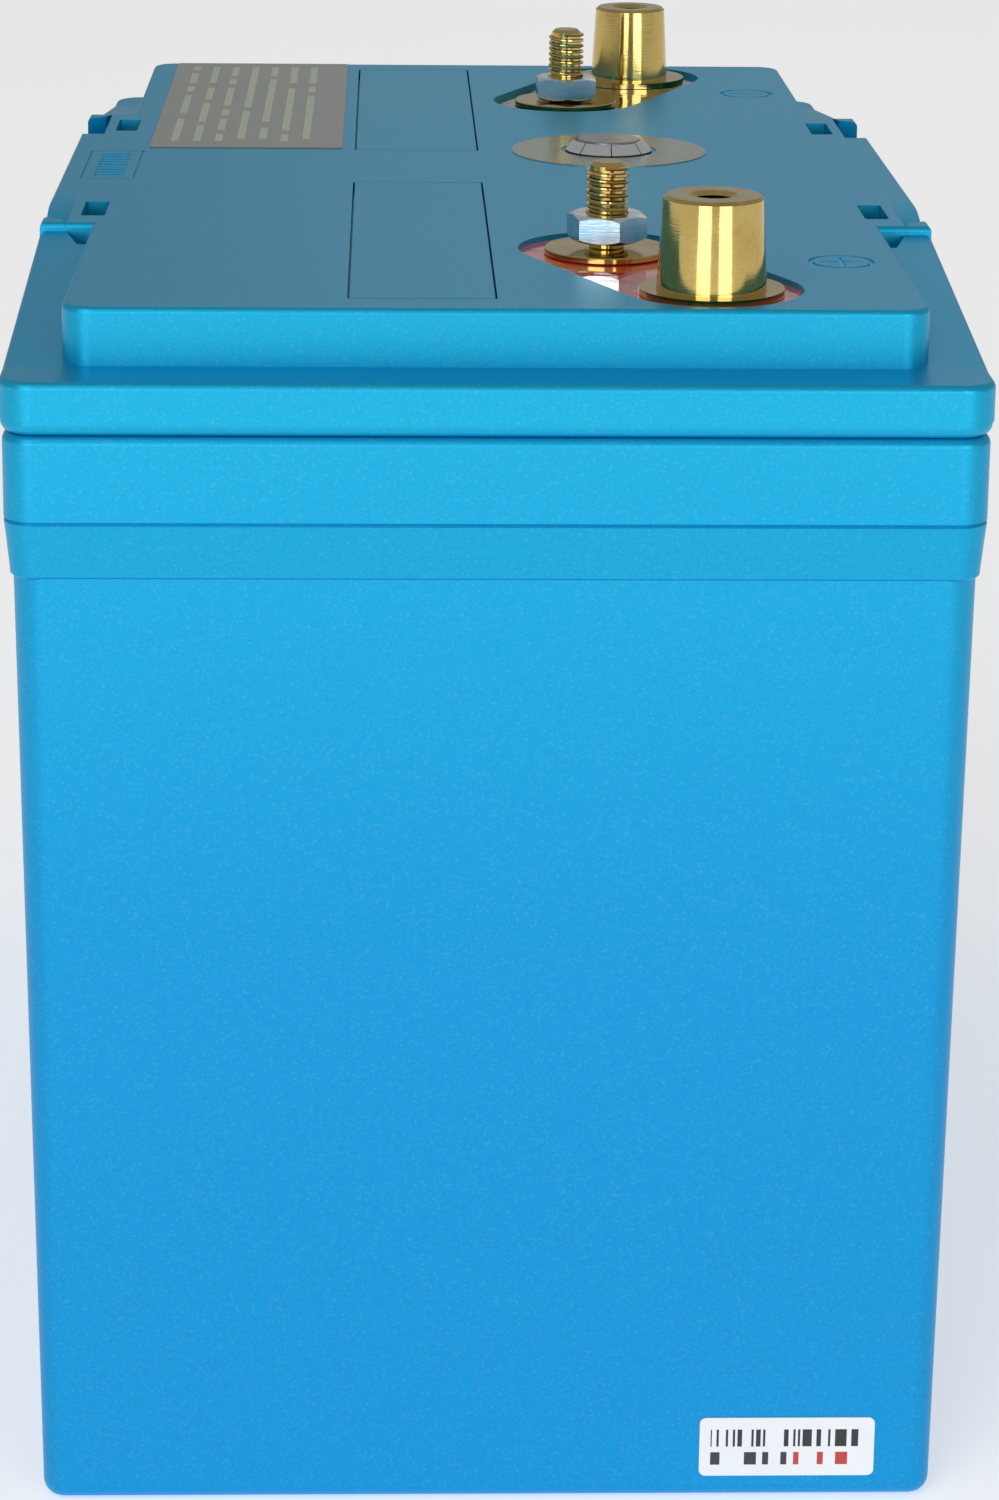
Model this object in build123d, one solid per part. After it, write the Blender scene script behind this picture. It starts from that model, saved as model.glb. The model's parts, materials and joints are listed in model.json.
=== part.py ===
from build123d import *
import os
from math import atan2, degrees, hypot, radians, sqrt, tan

# A 12 V deep cycle battery with a lithium iron phosphate pack, in millimetres.
# The origin is the middle of the underside. +X is across the case towards the terminals,
# -Y is the positive end, +Y the negative end and +Z is up.

os.makedirs("parts", exist_ok=True)

# ---------------------------------------------------------------- driving sizes
# Overall
lid_width = 168.0
lid_length = 310.0
plateau_height = 217.7
seam_height = 183.1
groove_height = 198.2

# Container
wall = 3.0
floor_wall = 3.5
draft = 0.66
side_inset = 3.8
body_corner = 4.0
cavity_corner = 2.0
case_corner = 5.5
floor_edge_radius = 3.0
collar_height = 10.1
collar_inset = 0.5
collar_taper = 5.6
collar_chamfer = 0.6
seam_chamfer = 0.35

# Cover, the middle band
cover_inset = 0.5
cover_plate = 3.0
cover_edge_radius = 1.5
tongue_depth = 6.0
tongue_wall = 2.4
joint_gap = 0.2
ledge_wall = 2.0
window_margin = 16.0
window_corner = 10.0

# Lid, the top band with its plateau
lid_corner = 6.0
lid_wall = 3.0
band_wall = 4.0
lid_ledge_height = 207.55
mould_line_height = 200.6
mould_step = 0.25
lid_foot_radius = 2.0
lid_edge_radius = 1.2
plateau_side_inset = 9.9
plateau_end_inset = 13.2
plateau_corner = 5.0
plateau_edge_radius = 1.0
plateau_roof = 4.0
plateau_side_wall = 5.0
ramp_crest = 216.9
ramp_end = 57.0
lobe_half_length = 64.5
notch_end = 73.0
notch_floor = 211.2
notch_corner_x = 1.2
notch_corner_y = 4.0
notch_lip_x = 2.4
notch_lip_y = 0.6
scoop_start = 33.0
scoop_radius = 60.0
scoop_width = 5.0
slot_width = 4.6
slot_length = 14.8
slot_corner = 0.8
slot_from_edge = 9.4
slot_y = 49.5

# Marks on the lid
panel_width = 25.8
panel_right = 0.2
panel_middle_margin = 19.0
panel_end_margin = 8.5
panel_depth = 2.0
panel_gap = 0.4
panel_corner = 0.5
mark_radius = 6.0
mark_line = 0.8
mark_depth = 0.35
mark_arm = 7.8
mark_edge_inset = 11.0
mark_from_post = 24.5
badge_width = 11.0
badge_length = 33.4
badge_line = 0.5
badge_depth = 0.25
badge_bars = 9
badge_bar_length = 6.0

# Labels
label_thickness = 0.2
info_edge_inset = 5.7
info_end_inset = 1.5
info_panel_gap = 2.6
info_middle_margin = 20.3
serial_width = 31.6
serial_height = 11.5
serial_corner = 1.2
serial_x = 53.9
serial_z = 10.5

# Terminals
post_edge_inset = 36.4
post_end_inset = 18.5
stud_from_post_x = 16.4
stud_from_post_y = 36.0
pocket_radius = 16.2
pocket_depth = 5.0
pocket_wall = 3.0
well_wall = 2.0
potting_height = 4.0
positive_post_top_radius = 8.75
negative_post_top_radius = 7.95
post_taper = 1.0 / 18.0
post_height = 16.3
post_edge = 0.6
post_flange_radius = 12.75
stud_flange_radius = 11.4
flange_thickness = 1.2
flange_rise = 0.3
hub_radius = 9.0
post_core_radius = 3.4
post_core_depth = 12.0
post_mouth_radius = 4.2
shank_drop = 14.0
post_shank_radius = 5.0
stud_radius = 3.94
stud_height = 15.9
stud_chamfer = 0.7
thread_gap = 0.06
nut_across_flats = 13.0
nut_height = 5.0
positive_nut_gap = 1.4
negative_nut_gap = 0.3
positive_nut_turn = 45.0
negative_nut_turn = 32.0
link_thickness = 2.0
link_margin = 4.0
hole_gap = 0.2
base_nut_height = 5.0
post_base_nut_flats = 16.0

# Emergency start button
button_x = 27.4
button_y = 19.6
button_label_radius = 20.25
button_label_bore = 9.9
bezel_radius = 9.0
bezel_height = 2.0
bezel_top_radius = 7.3
gasket_thickness = 0.4
barrel_radius = 8.0
barrel_depth = 16.0
barrel_floor = 2.0
cap_radius = 6.5
cap_gap = 0.05
cap_thickness = 3.5
cap_rise = 0.3
plunger_radius = 2.0
plunger_drop = 15.5
spring_radius = 4.3
spring_wire = 0.45
spring_pitch = 1.9
block_radius = 7.0
block_height = 8.0
block_wall = 1.5
pin_height = 6.0
lock_nut_flats = 19.0
lock_nut_height = 2.5

# Cell pack
cell_count = 4
cell_height = 132.0
cell_edge = 2.0
cell_side_gap = 1.2
liner_thickness = 0.5
separator_thickness = 1.0
base_pad_thickness = 3.0
end_plate_thickness = 6.0
end_pad_thickness = 24.0
pack_gap = 0.5
pad_side_gap = 1.0
pole_radius = 7.0
pole_height = 3.0
pole_from_edge = 26.0
cell_stud_radius = 3.0
cell_stud_height = 9.5
vent_radius = 8.0
vent_rise = 0.4
busbar_width = 18.0
busbar_thickness = 2.0
cell_nut_flats = 10.0
cell_nut_height = 5.0
band_width = 16.0
band_thickness = 0.6
band_low = 32.0
band_high = 100.0

# Battery management system
tray_rise = 19.5
tray_thickness = 2.0
tray_side_margin = 15.0
tray_leg_width = 14.0
tray_leg_x = 20.0
tray_end_margin = 10.0
board_width = 66.0
board_length = 170.0
board_thickness = 1.6
board_edge_inset = 17.0
standoff_radius = 3.0
standoff_height = 5.0
board_hole_side = 5.0
board_hole_end = 14.0
board_screw_radius = 1.5
board_screw_head = 2.8
board_screw_head_height = 1.8
mosfet_count = 8
mosfet_size = 10.0
mosfet_height = 4.4
sink_width = 34.0
sink_offset = -10.0
sink_end_gap = 2.0
sink_base = 3.0
sink_fin_height = 6.0
sink_fin_count = 7
sink_fin = 1.4
connector_width = 6.0
connector_length = 16.0
connector_height = 7.0
connector_y = -20.0
terminal_width = 12.0
terminal_length = 8.0
terminal_height = 8.0
terminal_pitch = 18.0
sense_wire_radius = 0.8
sense_wire_pitch = 2.4
sense_wire_bend = 3.0
sense_wire_rise = 8.5
sense_wire_lane = 3.0
sense_from_pole = 7.5
button_lead_bend = 6.0
power_lead_radius = 3.5
power_lead_bend = 10.0
power_lead_reach = 12.5
lug_ring_radius = 9.0
lug_neck = 1.0
lug_barrel_radius = 4.4
lug_barrel_length = 12.0
sensor_radius = 2.4
sensor_length = 12.0
sensor_x = -20.0
sensor_from_cell = 18.0
sensor_lead_radius = 0.9
sensor_lead_rise = 11.0
sensor_lead_reach = 5.0

# ---------------------------------------------------------------- worked-out places
slope = tan(radians(draft))
lid_half_width = lid_width / 2
lid_half_length = lid_length / 2
plateau_half_width = lid_half_width - plateau_side_inset
plateau_half_length = lid_half_length - plateau_end_inset
collar_foot = seam_height - collar_height
floor_width = lid_width - 2 * side_inset
floor_length = lid_length - 2 * side_inset
post_x = plateau_half_width - post_edge_inset
post_y = plateau_half_length - post_end_inset
stud_x = post_x - stud_from_post_x
stud_y = post_y - stud_from_post_y
pocket_floor = plateau_height - pocket_depth
roof_underside = plateau_height - plateau_roof
well_underside = pocket_floor - pocket_wall
flange_top = plateau_height + flange_rise
flange_underside = flange_top - flange_thickness
link_floor = well_underside - link_thickness
lug_floor = link_floor - busbar_thickness
cover_width = lid_width - 2 * cover_inset
cover_length = lid_length - 2 * cover_inset
slot_x = lid_half_width - slot_from_edge
scoop_x = lid_half_width - scoop_width
cavity_roof = lid_ledge_height - lid_wall
bezel_floor = plateau_height + gasket_thickness
bezel_top = bezel_floor + bezel_height
cap_top = bezel_top + cap_rise
cap_floor = cap_top - cap_thickness
barrel_underside = bezel_floor - barrel_depth
spring_floor = barrel_underside + barrel_floor
inner_floor_width = floor_width + 2 * floor_wall * slope - 2 * wall
inner_floor_length = floor_length + 2 * floor_wall * slope - 2 * wall
cell_floor = floor_wall + base_pad_thickness
cell_top = cell_floor + cell_height
cell_width = inner_floor_width - 2 * (liner_thickness + cell_side_gap)
end_depth = end_pad_thickness + end_plate_thickness + band_thickness + pack_gap
stack_length = inner_floor_length - 2 * end_depth
cell_thickness = (stack_length - (cell_count - 1) * separator_thickness) / cell_count
cell_pitch = cell_thickness + separator_thickness
pole_x = cell_width / 2 - pole_from_edge
pole_top = cell_top + pole_height
busbar_top = pole_top + busbar_thickness
tray_floor = cell_top + tray_rise
tray_top = tray_floor + tray_thickness
tray_width = cell_width - 2 * tray_side_margin
board_floor = tray_top + standoff_height
board_top = board_floor + board_thickness
board_x = -cell_width / 2 + board_edge_inset + board_width / 2
board_right = board_x + board_width / 2
board_left = board_x - board_width / 2
connector_z = board_top + connector_height / 2
terminal_z = board_top + terminal_height / 2
terminal_x = board_right - terminal_width / 2 - 2
terminal_face = board_length / 2
mosfet_top = board_top + mosfet_height
sink_length = board_length - 2 * (terminal_length + sink_end_gap)
cell_ys = [(i - (cell_count - 1) / 2) * cell_pitch for i in range(cell_count)]


# ---------------------------------------------------------------- shared shapes
def block(width, length, height, floor, x=0.0, y=0.0, corner=0.0):
    """An upright block with its underside at floor and its upright edges rounded by corner."""
    outline = RectangleRounded(width, length, corner) if corner else Rectangle(width, length)
    return Pos(x, y, floor) * extrude(outline, height)


def rod(radius, height, floor, x=0.0, y=0.0):
    """An upright rod with its underside at floor."""
    return Pos(x, y, floor) * extrude(Circle(radius), height)


def ring(outer, inner, height, floor, x=0.0, y=0.0):
    """An upright tube with its underside at floor."""
    return Pos(x, y, floor) * extrude(Circle(outer) - Circle(inner), height)


def nut_blank(flats, height):
    """The turned blank of a nut, whose coned ends trim the nut's corners."""
    corner_radius = flats / sqrt(3)
    face_radius = 0.475 * flats
    drop = (corner_radius - face_radius) * tan(radians(30))
    profile = Polyline(
        (0, 0), (face_radius, 0), (corner_radius, drop),
        (corner_radius, height - drop), (face_radius, height), (0, height), close=True,
    )
    return revolve(Plane.XZ * make_face(profile), Axis.Z)


def hex_nut(flats, bore, height, floor, x, y, turn=0.0):
    """A hexagon nut with coned ends and a plain bore, its underside at floor."""
    blank = extrude(RegularPolygon(flats / sqrt(3), 6), height) & nut_blank(flats, height)
    return Pos(x, y, floor) * Rot(0, 0, turn) * (blank - extrude(Circle(bore), height))


def case_width_at(height):
    """The width outside the container's drafted walls at a height."""
    return floor_width + 2 * height * slope


def case_length_at(height):
    """The length outside the container's drafted walls at a height."""
    return floor_length + 2 * height * slope


def pocket_outline(radius):
    """The rounded slot round the post and stud at the negative end."""
    reach = hypot(stud_from_post_x, stud_from_post_y)
    lean = degrees(atan2(stud_from_post_y, stud_from_post_x))
    middle = ((post_x + stud_x) / 2, (post_y + stud_y) / 2)
    return Pos(*middle) * Rot(0, 0, lean) * SlotCenterToCenter(reach, 2 * radius)


def at_end(shape, end):
    """A shape made for the negative end, or its mirror image at the positive end."""
    return shape if end > 0 else mirror(shape, Plane.XZ)


def at_four_corners(shape):
    """A shape made in the +X, +Y quarter, and its mirror images in the other three."""
    across = [shape, mirror(shape, Plane.YZ)]
    return across + [mirror(each, Plane.XZ) for each in across]


def tube(points, radius, bend):
    """A round lead along straight runs joined by tangent arcs, and its centre line."""
    path = FilletPolyline(*points, radius=bend)
    section = Plane(origin=path @ 0, z_dir=path % 0) * Circle(radius)
    return sweep(section, path=path)


def write(name, *solids):
    """Write one sub-part, as one solid or as a group of separate solids."""
    kept = [solid for shape in solids for solid in shape.solids()]
    export_step(kept[0] if len(kept) == 1 else Compound(kept), f"parts/{name}.step")


# ---------------------------------------------------------------- case
def make_container():
    """The drafted box with its stiff collar."""
    base = RectangleRounded(floor_width, floor_length, body_corner)
    body = extrude(base, collar_foot + collar_chamfer, taper=-draft)
    body = fillet(body.faces().sort_by(Axis.Z)[0].edges(), floor_edge_radius)
    collar_top_width = lid_width - 2 * collar_inset
    collar_top_length = lid_length - 2 * collar_inset
    top = Pos(0, 0, seam_height) * RectangleRounded(collar_top_width, collar_top_length, case_corner)
    collar = extrude(top, -collar_height, taper=collar_taper)
    collar = chamfer(collar.faces().sort_by(Axis.Z)[0].edges(), collar_chamfer)
    collar = chamfer(collar.faces().sort_by(Axis.Z)[-1].edges(), seam_chamfer)
    mouth = RectangleRounded(inner_floor_width, inner_floor_length, cavity_corner)
    cavity = Pos(0, 0, floor_wall) * extrude(mouth, seam_height - floor_wall, taper=-draft)
    return body + collar - cavity


def make_cover():
    """The middle band, with a tongue inside the collar and a plate under the lid."""
    height = groove_height - seam_height
    band = block(cover_width, cover_length, height, seam_height, corner=case_corner)
    band = fillet(band.faces().sort_by(Axis.Z)[-1].edges(), cover_edge_radius)
    band = chamfer(band.faces().sort_by(Axis.Z)[0].edges(), seam_chamfer)
    tongue_floor = seam_height - tongue_depth
    tongue_width = case_width_at(tongue_floor) - 2 * wall - 2 * joint_gap
    tongue_length = case_length_at(tongue_floor) - 2 * wall - 2 * joint_gap
    throat_width = tongue_width - 2 * tongue_wall
    throat_length = tongue_length - 2 * tongue_wall
    corner = cavity_corner + (tongue_floor - floor_wall) * slope
    tongue = block(tongue_width, tongue_length, tongue_depth + ledge_wall, tongue_floor, corner=corner)
    ledge_top = seam_height + ledge_wall
    hollow = block(
        cover_width - 2 * wall, cover_length - 2 * wall,
        groove_height - cover_plate - ledge_top, ledge_top, corner=corner,
    )
    throat = block(throat_width, throat_length, ledge_top - tongue_floor, tongue_floor, corner=corner)
    window = block(
        cover_width - 2 * window_margin, cover_length - 2 * window_margin,
        cover_plate, groove_height - cover_plate, corner=window_corner,
    )
    return band + tongue - hollow - throat - window


def make_lid_shell():
    """The lid's outside: band, ledges, ramps, plateau and side lobes."""
    upper = [
        (-lid_half_length, mould_line_height), (lid_half_length, mould_line_height),
        (lid_half_length, lid_ledge_height), (plateau_half_length, lid_ledge_height),
        (ramp_end, ramp_crest), (-ramp_end, ramp_crest),
        (-plateau_half_length, lid_ledge_height), (-lid_half_length, lid_ledge_height),
    ]
    side = Plane.YZ * make_face(Polyline(*upper, close=True))
    plan = block(
        lid_width, lid_length, plateau_height - mould_line_height, mould_line_height, corner=lid_corner
    )
    ledges = extrude(side, lid_half_width, both=True) & plan
    rim = [
        edge for edge in ledges.edges()
        if edge.center().Z > mould_line_height + lid_edge_radius
        and max(abs(edge.center().X) / lid_half_width, abs(edge.center().Y) / lid_half_length) > 0.985
        and abs((edge % 0.5).Z) < 0.5
    ]
    ledges = fillet(rim, lid_edge_radius)
    foot_width = lid_width - 2 * mould_step
    foot_length = lid_length - 2 * mould_step
    foot = block(foot_width, foot_length, mould_line_height - groove_height, groove_height,
                 corner=lid_corner - mould_step)
    foot = fillet(foot.faces().sort_by(Axis.Z)[0].edges(), lid_foot_radius)
    top = RectangleRounded(2 * plateau_half_width, 2 * plateau_half_length, plateau_corner)
    top += Rectangle(lid_width, 2 * lobe_half_length)
    plateau = Pos(0, 0, mould_line_height) * extrude(top, plateau_height - mould_line_height)
    plateau = fillet(plateau.faces().sort_by(Axis.Z)[-1].edges(), plateau_edge_radius)
    return foot + ledges + plateau


def make_handle_cuts():
    """The notch, scoop and strap slot at one corner of a side lobe."""
    over = plateau_height + 2
    past = lid_half_width + 2
    inner = plateau_half_width
    turn_x = scoop_x + notch_corner_x
    turn_y = ramp_end + notch_corner_y
    notch = [
        (inner, lobe_half_length), (scoop_x, lobe_half_length), (turn_x, turn_y),
        (inner + notch_lip_x, notch_end - notch_lip_y), (inner, notch_end),
    ]
    notch_cut = Pos(0, 0, notch_floor) * extrude(make_face(Polyline(*notch, close=True)), over - notch_floor)
    scoop = [
        (scoop_x, scoop_start), (past, scoop_start), (past, ramp_end),
        (turn_x, turn_y), (scoop_x, lobe_half_length),
    ]
    scoop_floor = plateau_height - scoop_radius
    scoop_cut = Pos(0, 0, scoop_floor) * extrude(make_face(Polyline(*scoop, close=True)), over - scoop_floor)
    hill = Rot(0, 90, 0) * Cylinder(scoop_radius, lid_half_width)
    hill = Pos(lid_half_width, scoop_start, scoop_floor) * hill
    slot_cut = block(
        slot_width, slot_length, over - cavity_roof + 1, cavity_roof - 1,
        x=slot_x, y=slot_y, corner=slot_corner,
    )
    return [notch_cut, scoop_cut - hill, slot_cut]


def make_marks():
    """The engraved polarity marks and the plain badge on the left lobe."""
    floor = plateau_height - mark_depth
    mark_x = plateau_half_width - mark_edge_inset
    mark_y = post_y - mark_from_post
    cuts = []
    for end in (-1, 1):
        y = end * mark_y
        cuts.append(ring(mark_radius, mark_radius - mark_line, mark_depth, floor, mark_x, y))
        cuts.append(block(mark_arm, mark_line, mark_depth, floor, mark_x, y))
    cuts.append(block(mark_line, mark_arm, mark_depth, floor, mark_x, -mark_y))
    badge_x = -(lid_half_width - slot_from_edge)
    badge_floor = plateau_height - badge_depth
    frame = block(badge_width, badge_length, badge_depth, badge_floor, badge_x)
    frame -= block(badge_width - 2 * badge_line, badge_length - 2 * badge_line, badge_depth,
                   badge_floor, badge_x)
    cuts.append(frame)
    pitch = badge_length / (badge_bars + 2)
    for i in range(badge_bars):
        y = (i - (badge_bars - 1) / 2) * pitch
        cuts.append(block(badge_bar_length, pitch / 2, badge_depth, badge_floor, badge_x, y))
    return cuts


def make_lid():
    """The lid, hollow underneath, with its pockets, recesses and holes."""
    lid = make_lid_shell()
    band_hollow = block(
        lid_width - 2 * band_wall, lid_length - 2 * band_wall,
        cavity_roof - groove_height, groove_height, corner=lid_corner - lid_wall / 2,
    )
    plateau_hollow = block(
        2 * (plateau_half_width - plateau_side_wall), 2 * (plateau_half_length - lid_wall),
        roof_underside - groove_height, groove_height, corner=plateau_corner - lid_wall / 2,
    )
    lid = lid - band_hollow - plateau_hollow
    well_depth = roof_underside - well_underside
    for end in (-1, 1):
        well = Pos(0, 0, well_underside) * extrude(pocket_outline(pocket_radius + well_wall), well_depth)
        pocket = Pos(0, 0, pocket_floor) * extrude(pocket_outline(pocket_radius), pocket_depth)
        lid = lid + at_end(well, end) - at_end(pocket, end)
        holes = [
            rod(post_shank_radius + hole_gap, pocket_wall, well_underside, post_x, end * post_y),
            rod(stud_radius + hole_gap, pocket_wall, well_underside, stud_x, end * stud_y),
        ]
        lid = lid - holes
        lid -= block(panel_width, panel_length(), panel_depth, plateau_height - panel_depth,
                     panel_right - panel_width / 2, end * panel_middle())
    cuts = [cut for shape in make_handle_cuts() for cut in at_four_corners(shape)]
    lid = lid - cuts - make_marks()
    return lid - rod(barrel_radius + hole_gap, plateau_roof, roof_underside, button_x, button_y)


def panel_length():
    """The length of each flush panel's recess."""
    return plateau_half_length - panel_end_margin - panel_middle_margin


def panel_middle():
    """The distance from the lid's middle to each flush panel's middle."""
    return panel_middle_margin + panel_length() / 2


def make_panel(end):
    """A flush panel, seated in its recess with a fine gap all round."""
    return block(panel_width - 2 * panel_gap, panel_length() - 2 * panel_gap, panel_depth,
                 plateau_height - panel_depth, panel_right - panel_width / 2, end * panel_middle(),
                 corner=panel_corner)


# ---------------------------------------------------------------- labels
def make_info_label():
    """The long plain label beside the rear panel."""
    left = -plateau_half_width + info_edge_inset
    right = panel_right - panel_width - info_panel_gap
    length = plateau_half_length - info_end_inset - info_middle_margin
    return block(right - left, length, label_thickness, plateau_height,
                 (left + right) / 2, info_middle_margin + length / 2, corner=0.8)


def make_serial_label():
    """The small sticker low on the positive end, lying on the drafted wall."""
    face_y = -floor_length / 2 - serial_z * slope
    leaning = Plane(origin=(serial_x, face_y, serial_z), x_dir=(1, 0, 0), z_dir=(0, -1, -slope))
    return extrude(leaning * RectangleRounded(serial_width, serial_height, serial_corner), label_thickness)


def make_button_label():
    """The round label about the start button."""
    return ring(button_label_radius, button_label_bore, label_thickness, plateau_height, button_x, button_y)


# ---------------------------------------------------------------- terminals
def make_post(end):
    """A tapered post with its flange, hub, shank and tapped top."""
    top_radius = negative_post_top_radius if end > 0 else positive_post_top_radius
    base_radius = top_radius + post_height * post_taper
    top = flange_top + post_height
    taper = Pos(0, 0, flange_top + post_height / 2) * Cone(base_radius, top_radius, post_height)
    taper = chamfer(taper.edges().filter_by(GeomType.CIRCLE).sort_by(Axis.Z)[-1], post_edge)
    body = taper + rod(post_flange_radius, flange_thickness, flange_underside)
    body += rod(hub_radius, flange_underside - pocket_floor, pocket_floor)
    body += rod(post_shank_radius, shank_drop, pocket_floor - shank_drop)
    body -= rod(post_core_radius, post_core_depth, top - post_core_depth)
    mouth_depth = post_mouth_radius - post_core_radius
    body -= Pos(0, 0, top - mouth_depth / 2) * Cone(post_core_radius, post_mouth_radius, mouth_depth)
    return Pos(post_x, end * post_y, 0) * body


def make_stud(end):
    """A terminal stud with its flange, hub and shank."""
    stud = chamfer(rod(stud_radius, stud_height, flange_top).edges().sort_by(Axis.Z)[-1], stud_chamfer)
    body = stud + rod(stud_flange_radius, flange_thickness, flange_underside)
    body += rod(hub_radius, flange_underside - pocket_floor, pocket_floor)
    body += rod(stud_radius, shank_drop, pocket_floor - shank_drop)
    return Pos(stud_x, end * stud_y, 0) * body


def make_terminal_nut(end):
    """The hexagon nut on a terminal stud."""
    gap = negative_nut_gap if end > 0 else positive_nut_gap
    turn = negative_nut_turn if end > 0 else positive_nut_turn
    return hex_nut(nut_across_flats, stud_radius + thread_gap, nut_height, flange_top + gap,
                   stud_x, end * stud_y, turn)


def make_potting(end):
    """The cast resin in a terminal pocket, level below the flanges."""
    fill = Pos(0, 0, pocket_floor) * extrude(pocket_outline(pocket_radius), potting_height)
    fill = fill - rod(hub_radius, potting_height, pocket_floor, post_x, post_y)
    return at_end(fill - rod(hub_radius, potting_height, pocket_floor, stud_x, stud_y), end)


def make_link(end):
    """The copper bar under a pocket that joins its post and stud."""
    bar = Pos(0, 0, link_floor) * extrude(pocket_outline(post_shank_radius + link_margin), link_thickness)
    bar = bar - rod(post_shank_radius + hole_gap, link_thickness, link_floor, post_x, post_y)
    return at_end(bar - rod(stud_radius + hole_gap, link_thickness, link_floor, stud_x, stud_y), end)


def make_base_nuts():
    """The four nuts that clamp the links and lugs under the lid."""
    nuts = []
    for end in (-1, 1):
        nuts.append(hex_nut(post_base_nut_flats, post_shank_radius, base_nut_height,
                            link_floor - base_nut_height, post_x, end * post_y))
        nuts.append(hex_nut(nut_across_flats, stud_radius, base_nut_height,
                            lug_floor - base_nut_height, stud_x, end * stud_y))
    return nuts


# ---------------------------------------------------------------- start button
def make_button_body():
    """The bezel and threaded barrel, bored for the cap and its plunger."""
    bezel = Pos(0, 0, bezel_floor + bezel_height / 2) * Cone(bezel_radius, bezel_top_radius, bezel_height)
    body = bezel + rod(barrel_radius, barrel_depth, barrel_underside)
    bore_depth = bezel_top - spring_floor
    body -= rod(cap_radius + cap_gap, bore_depth, spring_floor)
    body -= rod(plunger_radius + cap_gap, barrel_floor, barrel_underside)
    return Pos(button_x, button_y, 0) * body


def make_button_cap():
    """The push cap with its plunger."""
    cap = rod(cap_radius, cap_thickness, cap_floor)
    cap = fillet(cap.edges().sort_by(Axis.Z)[-1], 0.4)
    return Pos(button_x, button_y, 0) * (cap + rod(plunger_radius, plunger_drop, cap_floor - plunger_drop))


def make_button_spring():
    """The return spring between the barrel's floor and the cap."""
    height = cap_floor - spring_floor - 2 * spring_wire
    coil = Helix(pitch=spring_pitch, height=height, radius=spring_radius)
    wire = sweep(Plane(origin=coil @ 0, z_dir=coil % 0) * Circle(spring_wire), path=coil, is_frenet=True)
    return Pos(button_x, button_y, spring_floor + spring_wire) * wire


def make_contact_block():
    """The plastic contact housing below the barrel, with its two pins as solids."""
    block_floor = barrel_underside - block_height
    shell = rod(block_radius, block_height, block_floor)
    shell -= rod(block_radius - block_wall, block_height - block_wall, block_floor + block_wall)
    pins = [
        block(2.0, 0.8, pin_height, block_floor - pin_height, side * block_radius / 2)
        for side in (-1, 1)
    ]
    return [Pos(button_x, button_y, 0) * each for each in [shell] + pins]


def make_lock_nut():
    """The thin nut that holds the button from under the lid."""
    return hex_nut(lock_nut_flats, barrel_radius, lock_nut_height, roof_underside - lock_nut_height,
                   button_x, button_y)


# ---------------------------------------------------------------- cell pack
def make_cell(index):
    """A prismatic cell with its vent, two poles and their studs."""
    y = cell_ys[index]
    can = block(cell_width, cell_thickness, cell_height, cell_floor, corner=cell_edge)
    can += rod(vent_radius, vent_rise, cell_top)
    for side in (-1, 1):
        can += rod(pole_radius, pole_height, cell_top, side * pole_x)
        can += rod(cell_stud_radius, cell_stud_height, pole_top, side * pole_x)
    return Pos(0, y, 0) * can


def make_cell_busbars():
    """The bars that join the cells in series, on alternate sides."""
    bars = []
    for index in range(cell_count - 1):
        x = pole_x if index % 2 else -pole_x
        middle = (cell_ys[index] + cell_ys[index + 1]) / 2
        outline = Pos(x, middle) * Rot(0, 0, 90) * SlotCenterToCenter(cell_pitch, busbar_width)
        bar = Pos(0, 0, pole_top) * extrude(outline, busbar_thickness)
        for y in cell_ys[index:index + 2]:
            bar -= rod(cell_stud_radius + hole_gap, busbar_thickness, pole_top, x, y)
        bars.append(bar)
    return bars


def make_cell_nuts():
    """The nuts that clamp the bars and lugs on the cells' studs."""
    return [hex_nut(cell_nut_flats, cell_stud_radius, cell_nut_height, busbar_top, side * pole_x, y)
            for y in cell_ys for side in (-1, 1)]


def make_separators():
    """The insulating sheets between neighbouring cells."""
    return [
        block(cell_width, separator_thickness, cell_height, cell_floor, y=(low + high) / 2)
        for low, high in zip(cell_ys, cell_ys[1:])
    ]


def make_end_plate(end):
    """A stiff plate at one end of the cell stack."""
    y = end * (stack_length + end_plate_thickness) / 2
    return block(cell_width, end_plate_thickness, cell_height, cell_floor, y=y, corner=cell_edge)


def make_bands():
    """The two steel bands round the stack and its end plates."""
    length = stack_length + 2 * end_plate_thickness
    outer = RectangleRounded(cell_width + 2 * band_thickness, length + 2 * band_thickness,
                             cell_edge + band_thickness)
    loop = outer - RectangleRounded(cell_width, length, cell_edge)
    return [Pos(0, 0, cell_floor + low) * extrude(loop, band_width) for low in (band_low, band_high)]


def make_end_pad(end):
    """A foam block between the stack and the end of the container."""
    inner = stack_length / 2 + end_plate_thickness + band_thickness
    return block(inner_floor_width - 2 * case_corner, end_pad_thickness, cell_height, cell_floor,
                 y=end * (inner + end_pad_thickness / 2))


def make_side_liners():
    """The insulating sheets between the stack and the container's sides."""
    x = (inner_floor_width - liner_thickness) / 2
    return [block(liner_thickness, stack_length, cell_height, cell_floor, side * x) for side in (-1, 1)]


def make_base_pad():
    """The foam sheet under the cells."""
    return block(inner_floor_width - 2 * pad_side_gap, inner_floor_length - 2 * pad_side_gap,
                 base_pad_thickness, floor_wall, corner=cavity_corner)


# ---------------------------------------------------------------- battery management system
def standoff_places():
    """The places of the board's four standoffs."""
    y = board_length / 2 - board_hole_end
    return [(x, side * y) for x in (board_left + board_hole_side, board_right - board_hole_side)
            for side in (-1, 1)]


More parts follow.
